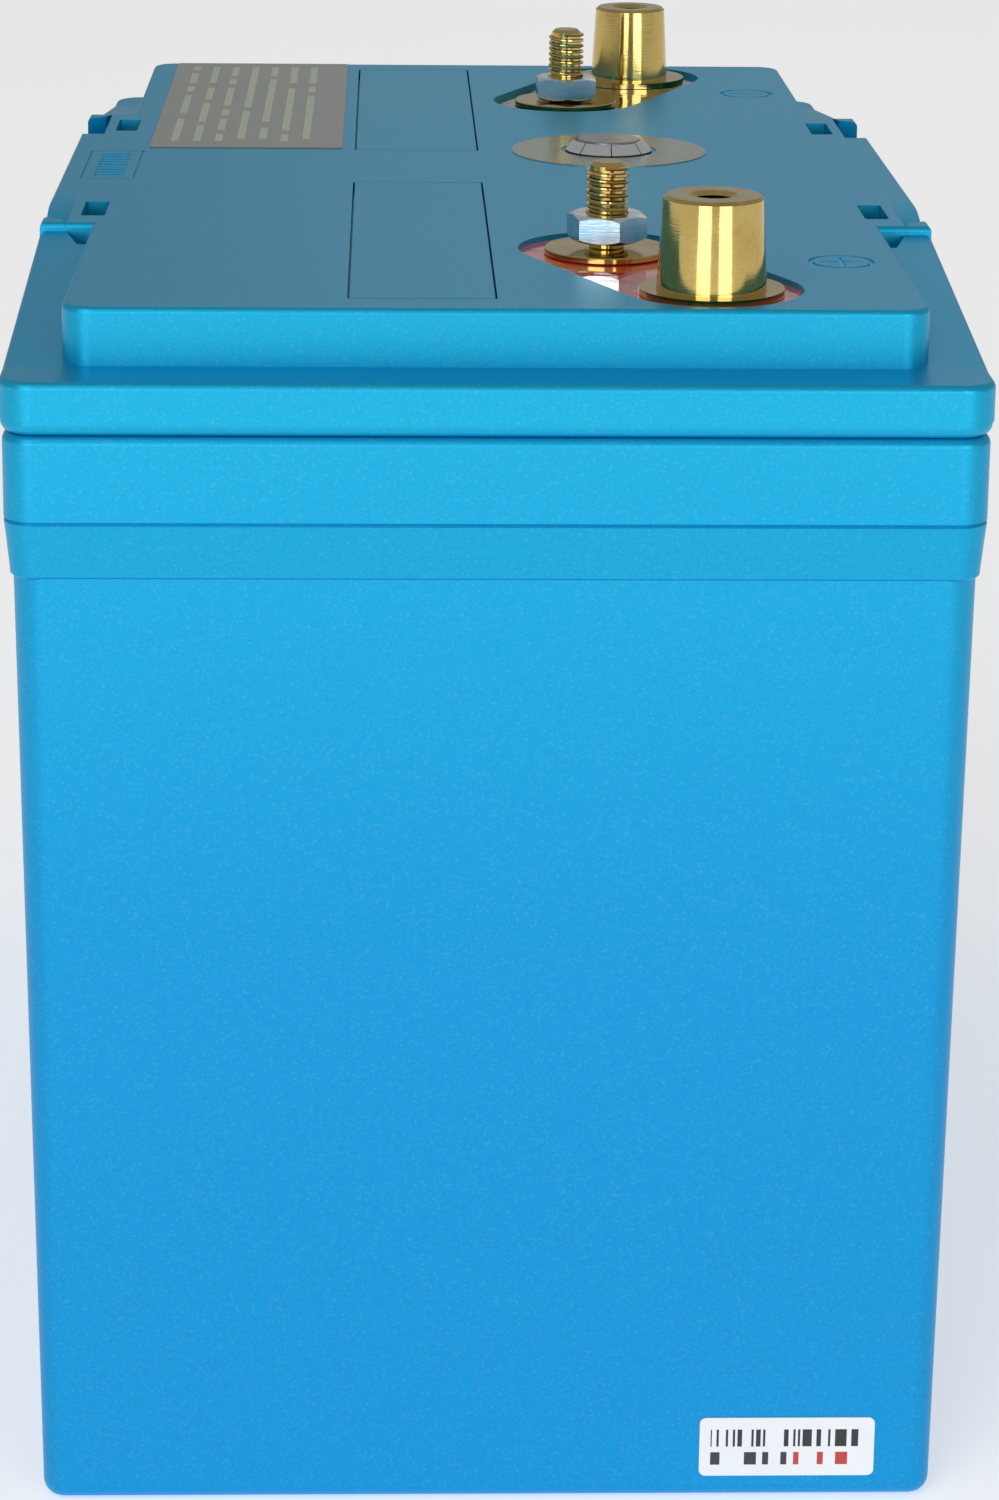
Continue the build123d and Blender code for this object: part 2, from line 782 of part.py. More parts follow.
def make_tray():
    """The insulating tray over the cells, with a leg on each end cell's two halves."""
    length = 2 * (cell_ys[-1] + tray_end_margin)
    tray = block(tray_width, length, tray_thickness, tray_floor, corner=4)
    for x in (-tray_leg_x, tray_leg_x):
        for y in (cell_ys[0], cell_ys[-1]):
            tray += block(tray_leg_width, tray_leg_width, tray_floor - cell_top, cell_top, x, y)
    return tray


def make_standoffs():
    """The posts that hold the board off the tray."""
    return [rod(standoff_radius, standoff_height, tray_top, x, y)
            - rod(board_screw_radius, standoff_height, tray_top, x, y) for x, y in standoff_places()]


def make_board():
    """The circuit board, drilled for its screws."""
    board = block(board_width, board_length, board_thickness, board_floor, board_x, corner=2)
    return board - [rod(board_screw_radius + hole_gap, board_thickness, board_floor, x, y)
                    for x, y in standoff_places()]


def make_board_screws():
    """The pan-head screws through the board into its standoffs."""
    reach = board_thickness + standoff_height - 1
    return [rod(board_screw_head, board_screw_head_height, board_top, x, y)
            + rod(board_screw_radius, reach, board_top - reach, x, y)
            for x, y in standoff_places()]


def make_mosfets():
    """The row of power transistors under the heat sink."""
    pitch = sink_length / mosfet_count
    return [block(mosfet_size, mosfet_size, mosfet_height, board_top, board_x + sink_offset,
                  (i - (mosfet_count - 1) / 2) * pitch) for i in range(mosfet_count)]


def make_heat_sink():
    """The finned aluminium plate on the transistors."""
    x = board_x + sink_offset
    sink = block(sink_width, sink_length, sink_base, mosfet_top, x)
    pitch = (sink_width - sink_fin) / (sink_fin_count - 1)
    for i in range(sink_fin_count):
        fin_x = x + (i - (sink_fin_count - 1) / 2) * pitch
        sink += block(sink_fin, sink_length, sink_fin_height, mosfet_top + sink_base, fin_x)
    return sink


def make_connectors():
    """The sense, button and sensor connectors on the board's edges."""
    right = board_right - connector_width / 2
    left = board_left + connector_width / 2
    return [
        block(connector_width, connector_length, connector_height, board_top, right, connector_y),
        block(connector_width, connector_length, connector_height, board_top, right, button_y),
        block(connector_width, connector_length / 2, connector_height, board_top, left, sensor_y()),
    ]


def make_board_terminals():
    """The two copper blocks for the negative power leads."""
    y = terminal_face - terminal_length / 2
    return [block(terminal_width, terminal_length, terminal_height, board_top,
                  terminal_x - i * terminal_pitch, y)
            for i in range(2)]


def sensor_y():
    """The temperature sensor's place along the case, on the second cell."""
    return cell_ys[1] + sensor_from_cell


def make_lug(x, y, floor, bore, barrel_up, end):
    """A ring lug whose barrel points to one end, above or below its flat ring."""
    flat = rod(lug_ring_radius, busbar_thickness, floor, x, y)
    barrel_start = lug_ring_radius + lug_neck
    neck = block(2 * lug_barrel_radius, barrel_start + 2, busbar_thickness, floor, x,
                 y + end * (barrel_start + 2) / 2)
    barrel_z = floor + lug_barrel_radius if barrel_up else floor + busbar_thickness - lug_barrel_radius
    barrel = Pos(x, y + end * (barrel_start + lug_barrel_length / 2), barrel_z) * Rot(90, 0, 0) * Cylinder(
        lug_barrel_radius, lug_barrel_length)
    return flat + neck + barrel - rod(bore, busbar_thickness, floor, x, y)


def make_lugs():
    """The four ring lugs: two on the end cells and two under the terminals."""
    lugs = []
    for end in (-1, 1):
        lugs.append(make_lug(pole_x, end * cell_ys[-1], pole_top, cell_stud_radius + hole_gap, True, end))
        lugs.append(make_lug(stud_x, end * stud_y, lug_floor, stud_radius + hole_gap, False, end))
    return lugs


def lower_lug_mouth(end):
    """Where a lead enters the lug on an end cell."""
    reach = lug_ring_radius + lug_neck + lug_barrel_length
    return (pole_x, end * (cell_ys[-1] + reach), pole_top + lug_barrel_radius)


def upper_lug_mouth(end):
    """Where a lead enters the lug under a terminal stud."""
    reach = lug_ring_radius + lug_neck + lug_barrel_length
    return (stud_x, end * (stud_y + reach), link_floor - lug_barrel_radius)


def make_positive_lead():
    """The lead from the first cell up to the positive terminal."""
    low, high = lower_lug_mouth(-1), upper_lug_mouth(-1)
    y = min(low[1], high[1]) - power_lead_reach
    return tube([low, (low[0], y, low[2]), (high[0], y, high[2]), high], power_lead_radius, power_lead_bend)


def make_cell_negative_lead():
    """The lead from the last cell to the board's first terminal."""
    low = lower_lug_mouth(1)
    y = low[1] + power_lead_reach
    high = (terminal_x, terminal_face, terminal_z)
    return tube([low, (low[0], y, low[2]), (high[0], y, high[2]), high], power_lead_radius, power_lead_bend)


def make_negative_lead():
    """The lead from the board's second terminal up to the negative terminal."""
    low = (terminal_x - terminal_pitch, terminal_face, terminal_z)
    high = upper_lug_mouth(1)
    y = high[1] + power_lead_reach
    return tube([low, (low[0], y, low[2]), (high[0], y, high[2]), high], power_lead_radius, power_lead_bend)


def make_sense_wires():
    """The five thin wires from the bars and end poles to the sense connector."""
    edge = tray_width / 2 + sense_wire_lane
    middle = cell_pitch
    starts = [
        (pole_x + sense_from_pole, cell_ys[0], 0, -2), (-pole_x, -middle, 1, -1), (pole_x, 0.0, 2, 0),
        (-pole_x, middle, 1, 1), (pole_x + sense_from_pole, cell_ys[-1], 0, 2),
    ]
    wires = []
    for x, y, lane, pin in starts:
        low = busbar_top + sense_wire_rise
        riser = edge + lane * sense_wire_pitch
        pin_y = connector_y + pin * sense_wire_pitch
        route = [
            (x, y, busbar_top), (x, y, low), (riser, y, low), (riser, y, connector_z),
            (riser, pin_y, connector_z), (board_right, pin_y, connector_z),
        ]
        wires.append(tube(route, sense_wire_radius, sense_wire_bend))
    return wires


def make_button_leads():
    """The two wires from the button's pins to the board."""
    pin_floor = barrel_underside - block_height - pin_height
    wires = []
    for side in (-1, 1):
        y = button_y + side * block_radius / 2
        route = [(button_x, y, pin_floor), (button_x, y, connector_z), (board_right, y, connector_z)]
        wires.append(tube(route, sense_wire_radius, button_lead_bend))
    return wires


def make_sensor():
    """The temperature sensor's bead, lying on the second cell."""
    return Pos(sensor_x, sensor_y(), cell_top + sensor_radius) * Rot(0, 90, 0) * Cylinder(
        sensor_radius, sensor_length)


def make_sensor_lead():
    """The lead from the sensor round the tray's edge to the board."""
    y, z = sensor_y(), cell_top + sensor_radius
    start = sensor_x - sensor_length / 2
    low = busbar_top + sensor_lead_rise
    outside = -tray_width / 2 - sense_wire_lane - sense_wire_bend
    route = [
        (start, y, z), (start - sensor_lead_reach, y, z), (start - sensor_lead_reach, y, low),
        (outside, y, low), (outside, y, connector_z), (board_left, y, connector_z),
    ]
    return tube(route, sensor_lead_radius, sense_wire_bend - 0.5)


# ---------------------------------------------------------------- every sub-part
write("container", make_container())
write("cover", make_cover())
write("lid", make_lid())
write("front_panel", make_panel(-1))
write("rear_panel", make_panel(1))
write("info_label", make_info_label())
write("serial_label", make_serial_label())
write("button_label", make_button_label())
for end, pole in ((-1, "positive"), (1, "negative")):
    write(f"{pole}_post", make_post(end))
    write(f"{pole}_stud", make_stud(end))
    write(f"{pole}_terminal_nut", make_terminal_nut(end))
    write(f"{pole}_potting", make_potting(end))
    write(f"{pole}_link", make_link(end))
write("terminal_base_nuts", *make_base_nuts())
write("button_body", make_button_body())
write("button_gasket",
      ring(bezel_radius, barrel_radius, gasket_thickness, plateau_height, button_x, button_y))
write("button_cap", make_button_cap())
write("button_spring", make_button_spring())
write("button_contact_block", *make_contact_block())
write("button_lock_nut", make_lock_nut())
for index in range(cell_count):
    write(f"cell_{index + 1}", make_cell(index))
write("cell_busbars", *make_cell_busbars())
write("cell_nuts", *make_cell_nuts())
write("cell_separators", *make_separators())
write("front_end_plate", make_end_plate(-1))
write("rear_end_plate", make_end_plate(1))
write("stack_bands", *make_bands())
write("front_end_pad", make_end_pad(-1))
write("rear_end_pad", make_end_pad(1))
write("side_liners", *make_side_liners())
write("base_pad", make_base_pad())
write("bms_tray", make_tray())
write("bms_standoffs", *make_standoffs())
write("bms_board", make_board())
write("bms_screws", *make_board_screws())
write("bms_mosfets", *make_mosfets())
write("bms_heat_sink", make_heat_sink())
write("bms_connectors", *make_connectors())
write("bms_terminals", *make_board_terminals())
write("lead_lugs", *make_lugs())
write("positive_lead", make_positive_lead())
write("cell_negative_lead", make_cell_negative_lead())
write("negative_lead", make_negative_lead())
write("sense_wires", *make_sense_wires())
write("button_leads", *make_button_leads())
write("temperature_sensor", make_sensor())
write("temperature_lead", make_sensor_lead())
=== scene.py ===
import json
import logging
import math
from dataclasses import dataclass, field
from enum import Enum
from typing import Any, Optional

import bmesh
import bpy
from mathutils import Matrix, Vector

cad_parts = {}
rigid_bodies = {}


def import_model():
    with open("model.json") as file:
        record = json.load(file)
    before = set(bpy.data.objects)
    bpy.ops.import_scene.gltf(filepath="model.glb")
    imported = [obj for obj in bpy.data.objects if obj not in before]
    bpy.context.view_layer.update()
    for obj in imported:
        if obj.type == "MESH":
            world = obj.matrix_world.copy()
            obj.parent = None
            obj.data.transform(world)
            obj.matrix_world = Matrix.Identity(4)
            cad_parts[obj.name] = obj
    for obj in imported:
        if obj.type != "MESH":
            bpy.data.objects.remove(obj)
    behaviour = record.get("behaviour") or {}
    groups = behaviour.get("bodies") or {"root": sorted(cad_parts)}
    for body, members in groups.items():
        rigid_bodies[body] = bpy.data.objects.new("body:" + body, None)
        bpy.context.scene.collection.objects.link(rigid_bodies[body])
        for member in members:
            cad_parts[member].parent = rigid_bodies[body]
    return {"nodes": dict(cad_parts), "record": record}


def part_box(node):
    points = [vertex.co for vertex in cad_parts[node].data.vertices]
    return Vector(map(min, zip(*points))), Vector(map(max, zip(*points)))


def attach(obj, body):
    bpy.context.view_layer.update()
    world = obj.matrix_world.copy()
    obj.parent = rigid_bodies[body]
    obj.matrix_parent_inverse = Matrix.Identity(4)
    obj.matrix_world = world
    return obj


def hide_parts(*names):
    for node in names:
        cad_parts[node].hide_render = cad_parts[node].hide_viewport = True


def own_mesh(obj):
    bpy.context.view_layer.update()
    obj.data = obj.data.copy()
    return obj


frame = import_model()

log = logging.getLogger("battery")

Colour = tuple[float, float, float]
Point = tuple[float, float, float]
Profile = list[tuple[float, float]]

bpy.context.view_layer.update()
GRAIN_SHARE = 0.35
GAP_SHARE = 0.42


class Sheen(Enum):
    """How a surface is finished: the shader's metallic, coat weight and coat roughness."""

    MOULDED = (0.0, 0.12, 0.30)
    METALLIC_MOULDED = (0.62, 0.0, 0.30)
    MATTE = (0.0, 0.0, 0.5)
    FILM = (0.0, 0.55, 0.12)
    SILVER_FILM = (0.55, 0.45, 0.15)
    RESIN = (0.0, 1.0, 0.03)
    METAL = (1.0, 0.0, 0.1)


def linear(red: int, green: int, blue: int) -> Colour:
    """A shader colour from a display colour of 0 to 255 a channel."""

    def channel(value: int) -> float:
        share = value / 255
        return share / 12.92 if share <= 0.04045 else ((share + 0.055) / 1.055) ** 2.4

    return (channel(red), channel(green), channel(blue))


class Wiring:
    """Adds and joins nodes in one node tree."""

    def __init__(self, tree: bpy.types.NodeTree) -> None:
        """Takes the tree to fill."""
        self.tree = tree

    def feed(self, socket: bpy.types.NodeSocket, value: Any) -> None:
        """Joins a socket to another one, or sets its own value.

        Args:
            socket: The input to feed.
            value: Another node's output, or a plain value.
        """
        if isinstance(value, bpy.types.NodeSocket):
            self.tree.links.new(value, socket)
        elif socket.type == "RGBA" and len(value) == 3:
            socket.default_value = (*value, 1.0)
        else:
            socket.default_value = value

    def add(self, kind: str, inputs: Optional[dict] = None, **settings: Any) -> bpy.types.Node:
        """Adds a node.

        Args:
            kind: The node's type name.
            inputs: Values or sockets for its inputs, by name or by place.
            settings: The node's own settings.

        Returns:
            The new node.
        """
        node = self.tree.nodes.new(kind)
        for name, value in settings.items():
            setattr(node, name, value)
        for name, value in (inputs or {}).items():
            self.feed(node.inputs[name], value)
        return node

    def math(self, operation: str, *values: Any) -> bpy.types.NodeSocket:
        """The result of one sum on up to three values."""
        node = self.add("ShaderNodeMath", dict(enumerate(values)), operation=operation)
        return node.outputs[0]

    def mix(self, share: Any, first: Any, second: Any) -> bpy.types.NodeSocket:
        """A colour between two others."""
        node = self.add("ShaderNodeMix", data_type="RGBA")
        for place, value in ((0, share), (6, first), (7, second)):
            self.feed(node.inputs[place], value)
        return node.outputs[2]

    def noise(self, vector: Any, scale: Any, detail: float = 2.0) -> bpy.types.NodeSocket:
        """Smooth noise of about 0 to 1."""
        inputs = {"Vector": vector, "Scale": scale, "Detail": detail}
        return self.add("ShaderNodeTexNoise", inputs).outputs[0]

    def ramp(self, value: Any, low: Any, high: Any,
             to_low: Any = 0.0, to_high: Any = 1.0) -> bpy.types.NodeSocket:
        """A value stretched from one range to another, and held at its ends."""
        inputs = {"Value": value, "From Min": low, "From Max": high, "To Min": to_low, "To Max": to_high}
        return self.add("ShaderNodeMapRange", inputs).outputs[0]


class Effects:
    """The shader node groups that several materials share, each built once."""

    def __init__(self) -> None:
        """Builds every group."""
        self.skin = self._skin()
        self.brushing = self._brushing()
        self.bars = self._bars()

    def _start(self, name: str, inputs: list[tuple[str, str]], outputs: list[tuple[str, str]]) -> tuple:
        """Starts a group.

        Args:
            name: The group's name.
            inputs: Its inputs, as name and socket type.
            outputs: Its outputs, likewise.

        Returns:
            The group, its wiring, its input sockets and its output node.
        """
        group = bpy.data.node_groups.new(name, "ShaderNodeTree")
        for label, kind in inputs:
            group.interface.new_socket(label, in_out="INPUT", socket_type=kind)
        for label, kind in outputs:
            group.interface.new_socket(label, in_out="OUTPUT", socket_type=kind)
        wires = Wiring(group)
        return group, wires, wires.add("NodeGroupInput").outputs, wires.add("NodeGroupOutput")

    def _skin(self) -> bpy.types.NodeTree:
        """Fine grain with a slow change of colour and gloss."""
        group, wires, given, out = self._start(
            "skin",
            [("Vector", "NodeSocketVector"), ("Colour", "NodeSocketColor"),
             ("Deep Colour", "NodeSocketColor"),
             ("Grain", "NodeSocketFloat"), ("Mottle", "NodeSocketFloat"),
             ("Rough Low", "NodeSocketFloat"), ("Rough High", "NodeSocketFloat")],
            [("Colour", "NodeSocketColor"), ("Roughness", "NodeSocketFloat"),
             ("Height", "NodeSocketFloat")],
        )
        grain = wires.noise(given["Vector"], given["Grain"], 3.0)
        cloud = wires.noise(given["Vector"], given["Mottle"], 3.0)
        clouded = wires.math("MULTIPLY", cloud, 1 - GRAIN_SHARE)
        share = wires.math("MULTIPLY_ADD", grain, GRAIN_SHARE, clouded)
        tone = wires.ramp(share, 0.3, 0.7)
        wires.feed(out.inputs["Colour"], wires.mix(tone, given["Deep Colour"], given["Colour"]))
        rough = wires.ramp(share, 0.35, 0.65, given["Rough Low"], given["Rough High"])
        wires.feed(out.inputs["Roughness"], rough)
        wires.feed(out.inputs["Height"], grain)
        return group

    def _brushing(self) -> bpy.types.NodeTree:
        """Fine turning or brushing lines, from noise pulled out along one way."""
        group, wires, given, out = self._start(
            "brushing",
            [("Vector", "NodeSocketVector"), ("Along", "NodeSocketVector"),
             ("Fineness", "NodeSocketFloat")],
            [("Height", "NodeSocketFloat")],
        )
        inputs = {0: given["Vector"], 1: given["Along"]}
        pulled = wires.add("ShaderNodeVectorMath", inputs, operation="MULTIPLY")
        lines = wires.noise(pulled.outputs[0], given["Fineness"], 4.0)
        wires.feed(out.inputs["Height"], lines)
        return group

    def _bars(self) -> bpy.types.NodeTree:
        """A mask that is 1 between two values."""
        group, wires, given, out = self._start(
            "between",
            [("Value", "NodeSocketFloat"), ("Low", "NodeSocketFloat"), ("High", "NodeSocketFloat")],
            [("Mask", "NodeSocketFloat")],
        )
        above = wires.math("GREATER_THAN", given["Value"], given["Low"])
        below = wires.math("LESS_THAN", given["Value"], given["High"])
        wires.feed(out.inputs["Mask"], wires.math("MULTIPLY", above, below))
        return group


@dataclass(frozen=True)
class Finish:
    """One material slot's finish.

    Sizes of grain and mottle are in repeats a metre, and bump is the grain's depth in metres.
    """

    slot: str
    colour: Colour
    deep: Colour
    sheen: Sheen
    rough: tuple[float, float] = (0.3, 0.45)
    grain: float = 2600.0
    mottle: float = 45.0
    bump: float = 0.00004

    def place(self, wires: Wiring) -> bpy.types.NodeSocket:
        """The point on the object that the patterns follow."""
        return wires.add("ShaderNodeTexCoord").outputs["Object"]

    def paint(self, wires: Wiring, effects: Effects, point: Any, colour: Any) -> Any:
        """The colour with this finish's own pattern over it. The plain finish has none."""
        return colour

    def relief(self, wires: Wiring, effects: Effects, point: Any, height: Any) -> Any:
        """The height that the bump follows. The plain finish keeps the grain."""
        return height

    def build(self, effects: Effects) -> bpy.types.Material:
        """Builds the material.

        Args:
            effects: The shared groups.

        Returns:
            The material, named after its slot.
        """
        material = bpy.data.materials.new(self.slot)
        material.use_nodes = True
        material.node_tree.nodes.clear()
        wires = Wiring(material.node_tree)
        point = self.place(wires)
        skin = wires.add("ShaderNodeGroup", node_tree=effects.skin)
        values = {"Vector": point, "Colour": self.colour, "Deep Colour": self.deep, "Grain": self.grain,
                  "Mottle": self.mottle, "Rough Low": self.rough[0], "Rough High": self.rough[1]}
        for name, value in values.items():
            wires.feed(skin.inputs[name], value)
        metallic, coat, coat_rough = self.sheen.value
        height = self.relief(wires, effects, point, skin.outputs["Height"])
        bump = wires.add("ShaderNodeBump", {"Strength": 0.6, "Distance": self.bump, "Height": height})
        shader = wires.add("ShaderNodeBsdfPrincipled", {
            "Base Color": self.paint(wires, effects, point, skin.outputs["Colour"]),
            "Roughness": skin.outputs["Roughness"],
            "Metallic": metallic, "Coat Weight": coat, "Coat Roughness": coat_rough,
            "Normal": bump.outputs[0],
        })
        wires.add("ShaderNodeOutputMaterial", {"Surface": shader.outputs[0]})
        return material


@dataclass(frozen=True)
class MouldedFinish(Finish):
    """Metallic moulding, with fine bright flakes and painted light that lightens it towards the top.

    Heights are in metres, and flake is in repeats a metre.
    """

    flake: float = 3000.0
    flake_from: float = 0.8
    flake_strength: float = 0.16
    flake_colour: Colour = (0.16, 0.46, 0.72)
    # Painted light: a lighter blue mixed in from the foot height up to the top height, standing in for
    # the light falling on the upper case.
    top_light_colour: Colour = (0.002, 0.42, 0.62)
    top_light_foot: float = 0.10
    top_light_top: float = 0.20
    top_light_share: float = 0.55

    def paint(self, wires: Wiring, effects: Effects, point: Any, colour: Any) -> Any:
        """The moulding with its painted top light and flakes."""
        height = wires.add("ShaderNodeSeparateXYZ", {0: point}).outputs["Z"]
        # Painted light: lighter higher up, for the light that falls on the upper case.
        top_light_amount = wires.ramp(height, self.top_light_foot, self.top_light_top, 0.0, self.top_light_share)
        colour = wires.mix(top_light_amount, colour, self.top_light_colour)
        cells = wires.add("ShaderNodeTexVoronoi", {"Vector": point, "Scale": self.flake})
        chance = wires.add("ShaderNodeSeparateColor", {0: cells.outputs["Color"]}).outputs[0]
        bright = wires.ramp(chance, self.flake_from, 1.0, 0.0, self.flake_strength)
        return wires.mix(bright, colour, self.flake_colour)


@dataclass(frozen=True)
class BrushedFinish(Finish):
    """Metal with turning or brushing lines. Along is small on the axis that the lines follow."""

    along: Point = (1.0, 1.0, 14.0)
    fineness: float = 300.0

    def relief(self, wires: Wiring, effects: Effects, point: Any, height: Any) -> Any:
        """The lines, as height."""
        lines = wires.add("ShaderNodeGroup", node_tree=effects.brushing)
        for name, value in (("Vector", point), ("Along", self.along), ("Fineness", self.fineness)):
            wires.feed(lines.inputs[name], value)
        return lines.outputs["Height"]


@dataclass(frozen=True)
class FacetFinish(Finish):
    """Polished metal cut into segments round an upright axis, with a thin dark line between them."""

    centre: tuple[float, float] = (0.0, 0.0)
    segments: int = 24
    line_share: float = 0.06
    line_colour: Colour = (0.05, 0.05, 0.055)

    def _turn(self, wires: Wiring, point: Any) -> bpy.types.NodeSocket:
        """The place within one segment, from 0 to 1."""
        axes = wires.add("ShaderNodeSeparateXYZ", {0: point}).outputs
        x = wires.math("SUBTRACT", axes["X"], self.centre[0])
        y = wires.math("SUBTRACT", axes["Y"], self.centre[1])
        turn = wires.math("ARCTAN2", y, x)
        return wires.math("FRACT", wires.math("MULTIPLY", turn, self.segments / (2 * math.pi)))

    def paint(self, wires: Wiring, effects: Effects, point: Any, colour: Any) -> Any:
        """The metal with its dividing lines."""
        mask = wires.math("LESS_THAN", self._turn(wires, point), self.line_share)
        return wires.mix(mask, colour, self.line_colour)


@dataclass(frozen=True)
class ResinFinish(Finish):
    """Poured resin, with a slow ripple in its top."""

    ripple: float = 130.0

    def relief(self, wires: Wiring, effects: Effects, point: Any, height: Any) -> Any:
        """The ripple, as height."""
        return wires.noise(point, self.ripple, 1.0)


@dataclass(frozen=True)
class MarkedFinish(MouldedFinish):
    """Moulded plastic with lighter engraved marks. Each mark is a place across and along."""

    marks: tuple = ()
    reach: float = 0.0085
    below: float = 0.0
    ink: Colour = (0.2, 0.7, 0.9)

    def paint(self, wires: Wiring, effects: Effects, point: Any, colour: Any) -> Any:
        """The plastic, lighter wherever it lies under its top within a mark's reach."""
        colour = super().paint(wires, effects, point, colour)
        axes = wires.add("ShaderNodeSeparateXYZ", {0: point}).outputs
        sunk = wires.math("LESS_THAN", axes["Z"], self.below)
        for x, y in self.marks:
            across = wires.math("SUBTRACT", axes["X"], x)
            along = wires.math("SUBTRACT", axes["Y"], y)
            across, along = (wires.math("MULTIPLY", span, span) for span in (across, along))
            squares = wires.math("ADD", across, along)
            near = wires.math("LESS_THAN", squares, self.reach * self.reach)
            colour = wires.mix(wires.math("MULTIPLY", near, sunk), colour, self.ink)
        return colour


@dataclass(frozen=True)
class StripFinish(Finish):
    """A printed film with plain strips along Y in place of wording."""

    start_x: float = 0.0
    end_x: float = 1.0
    start_y: float = 0.0
    end_y: float = 1.0
    pitch: float = 0.0046
    share: float = 0.34
    breaks: float = 90.0
    ink: Colour = (0.3, 0.4, 0.25)

    def paint(self, wires: Wiring, effects: Effects, point: Any, colour: Any) -> Any:
        """The film with its strips, each broken into uneven runs."""
        axes = wires.add("ShaderNodeSeparateXYZ", {0: point}).outputs
        row = wires.math("DIVIDE", axes["X"], self.pitch)
        on_row = wires.math("LESS_THAN", wires.math("FRACT", row), self.share)
        place = {0: wires.math("FLOOR", row), 1: wires.math("MULTIPLY", axes["Y"], self.breaks)}
        cell = wires.add("ShaderNodeCombineXYZ", place)
        run = wires.math("GREATER_THAN", wires.noise(cell.outputs[0], 1.0, 0.0), GAP_SHARE)
        mask = wires.math("MULTIPLY", on_row, run)
        for axis, low, high in (("X", self.start_x, self.end_x), ("Y", self.start_y, self.end_y)):
            band = wires.add("ShaderNodeGroup", node_tree=effects.bars)
            for name, value in (("Value", axes[axis]), ("Low", low), ("High", high)):
                wires.feed(band.inputs[name], value)
            mask = wires.math("MULTIPLY", mask, band.outputs[0])
        return wires.mix(mask, colour, self.ink)


@dataclass(frozen=True)
class RingFinish(FacetFinish):
    """A silver film with a broken ring of plain marks round the button."""

    inner: float = 0.0125
    outer: float = 0.0165
    ink: Colour = (0.3, 0.42, 0.34)

    def paint(self, wires: Wiring, effects: Effects, point: Any, colour: Any) -> Any:
        """The film with its ring of marks."""
        axes = wires.add("ShaderNodeSeparateXYZ", {0: point}).outputs
        x = wires.math("SUBTRACT", axes["X"], self.centre[0])
        y = wires.math("SUBTRACT", axes["Y"], self.centre[1])
        squares = wires.math("ADD", wires.math("MULTIPLY", x, x), wires.math("MULTIPLY", y, y))
        radius = wires.math("SQRT", squares)
        band = wires.add("ShaderNodeGroup", node_tree=effects.bars)
        for name, value in (("Value", radius), ("Low", self.inner), ("High", self.outer)):
            wires.feed(band.inputs[name], value)
        mark = wires.math("LESS_THAN", self._turn(wires, point), self.line_share)
        return wires.mix(wires.math("MULTIPLY", band.outputs[0], mark), colour, self.ink)


@dataclass(frozen=True)
class StickerFinish(Finish):
    """A white sticker with upright bars over a row of short blocks, none of which can be read.

    Bands hold, for each row, its lowest and highest X, its lowest and highest Z, a bar's width and
    its ink.
    """

    bands: tuple = ()

    def paint(self, wires: Wiring, effects: Effects, point: Any, colour: Any) -> Any:
        """The sticker with its bars."""
        axes = wires.add("ShaderNodeSeparateXYZ", {0: point}).outputs
        for start_x, end_x, low, high, width, ink in self.bands:
            cell = wires.math("FLOOR", wires.math("DIVIDE", axes["X"], width))
            chance = wires.add("ShaderNodeTexWhiteNoise", {"W": cell}, noise_dimensions="1D").outputs[0]
            mask = wires.math("GREATER_THAN", chance, GAP_SHARE)
            for value, bottom, top in ((axes["X"], start_x, end_x), (axes["Z"], low, high)):
                band = wires.add("ShaderNodeGroup", node_tree=effects.bars)
                for name, given in (("Value", value), ("Low", bottom), ("High", top)):
                    wires.feed(band.inputs[name], given)
                mask = wires.math("MULTIPLY", mask, band.outputs[0])
            colour = wires.mix(mask, colour, ink)
        return colour


def middle(node: str) -> Vector:
    """The middle of a node's box."""
    low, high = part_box(node)
    return (Vector(low) + Vector(high)) / 2


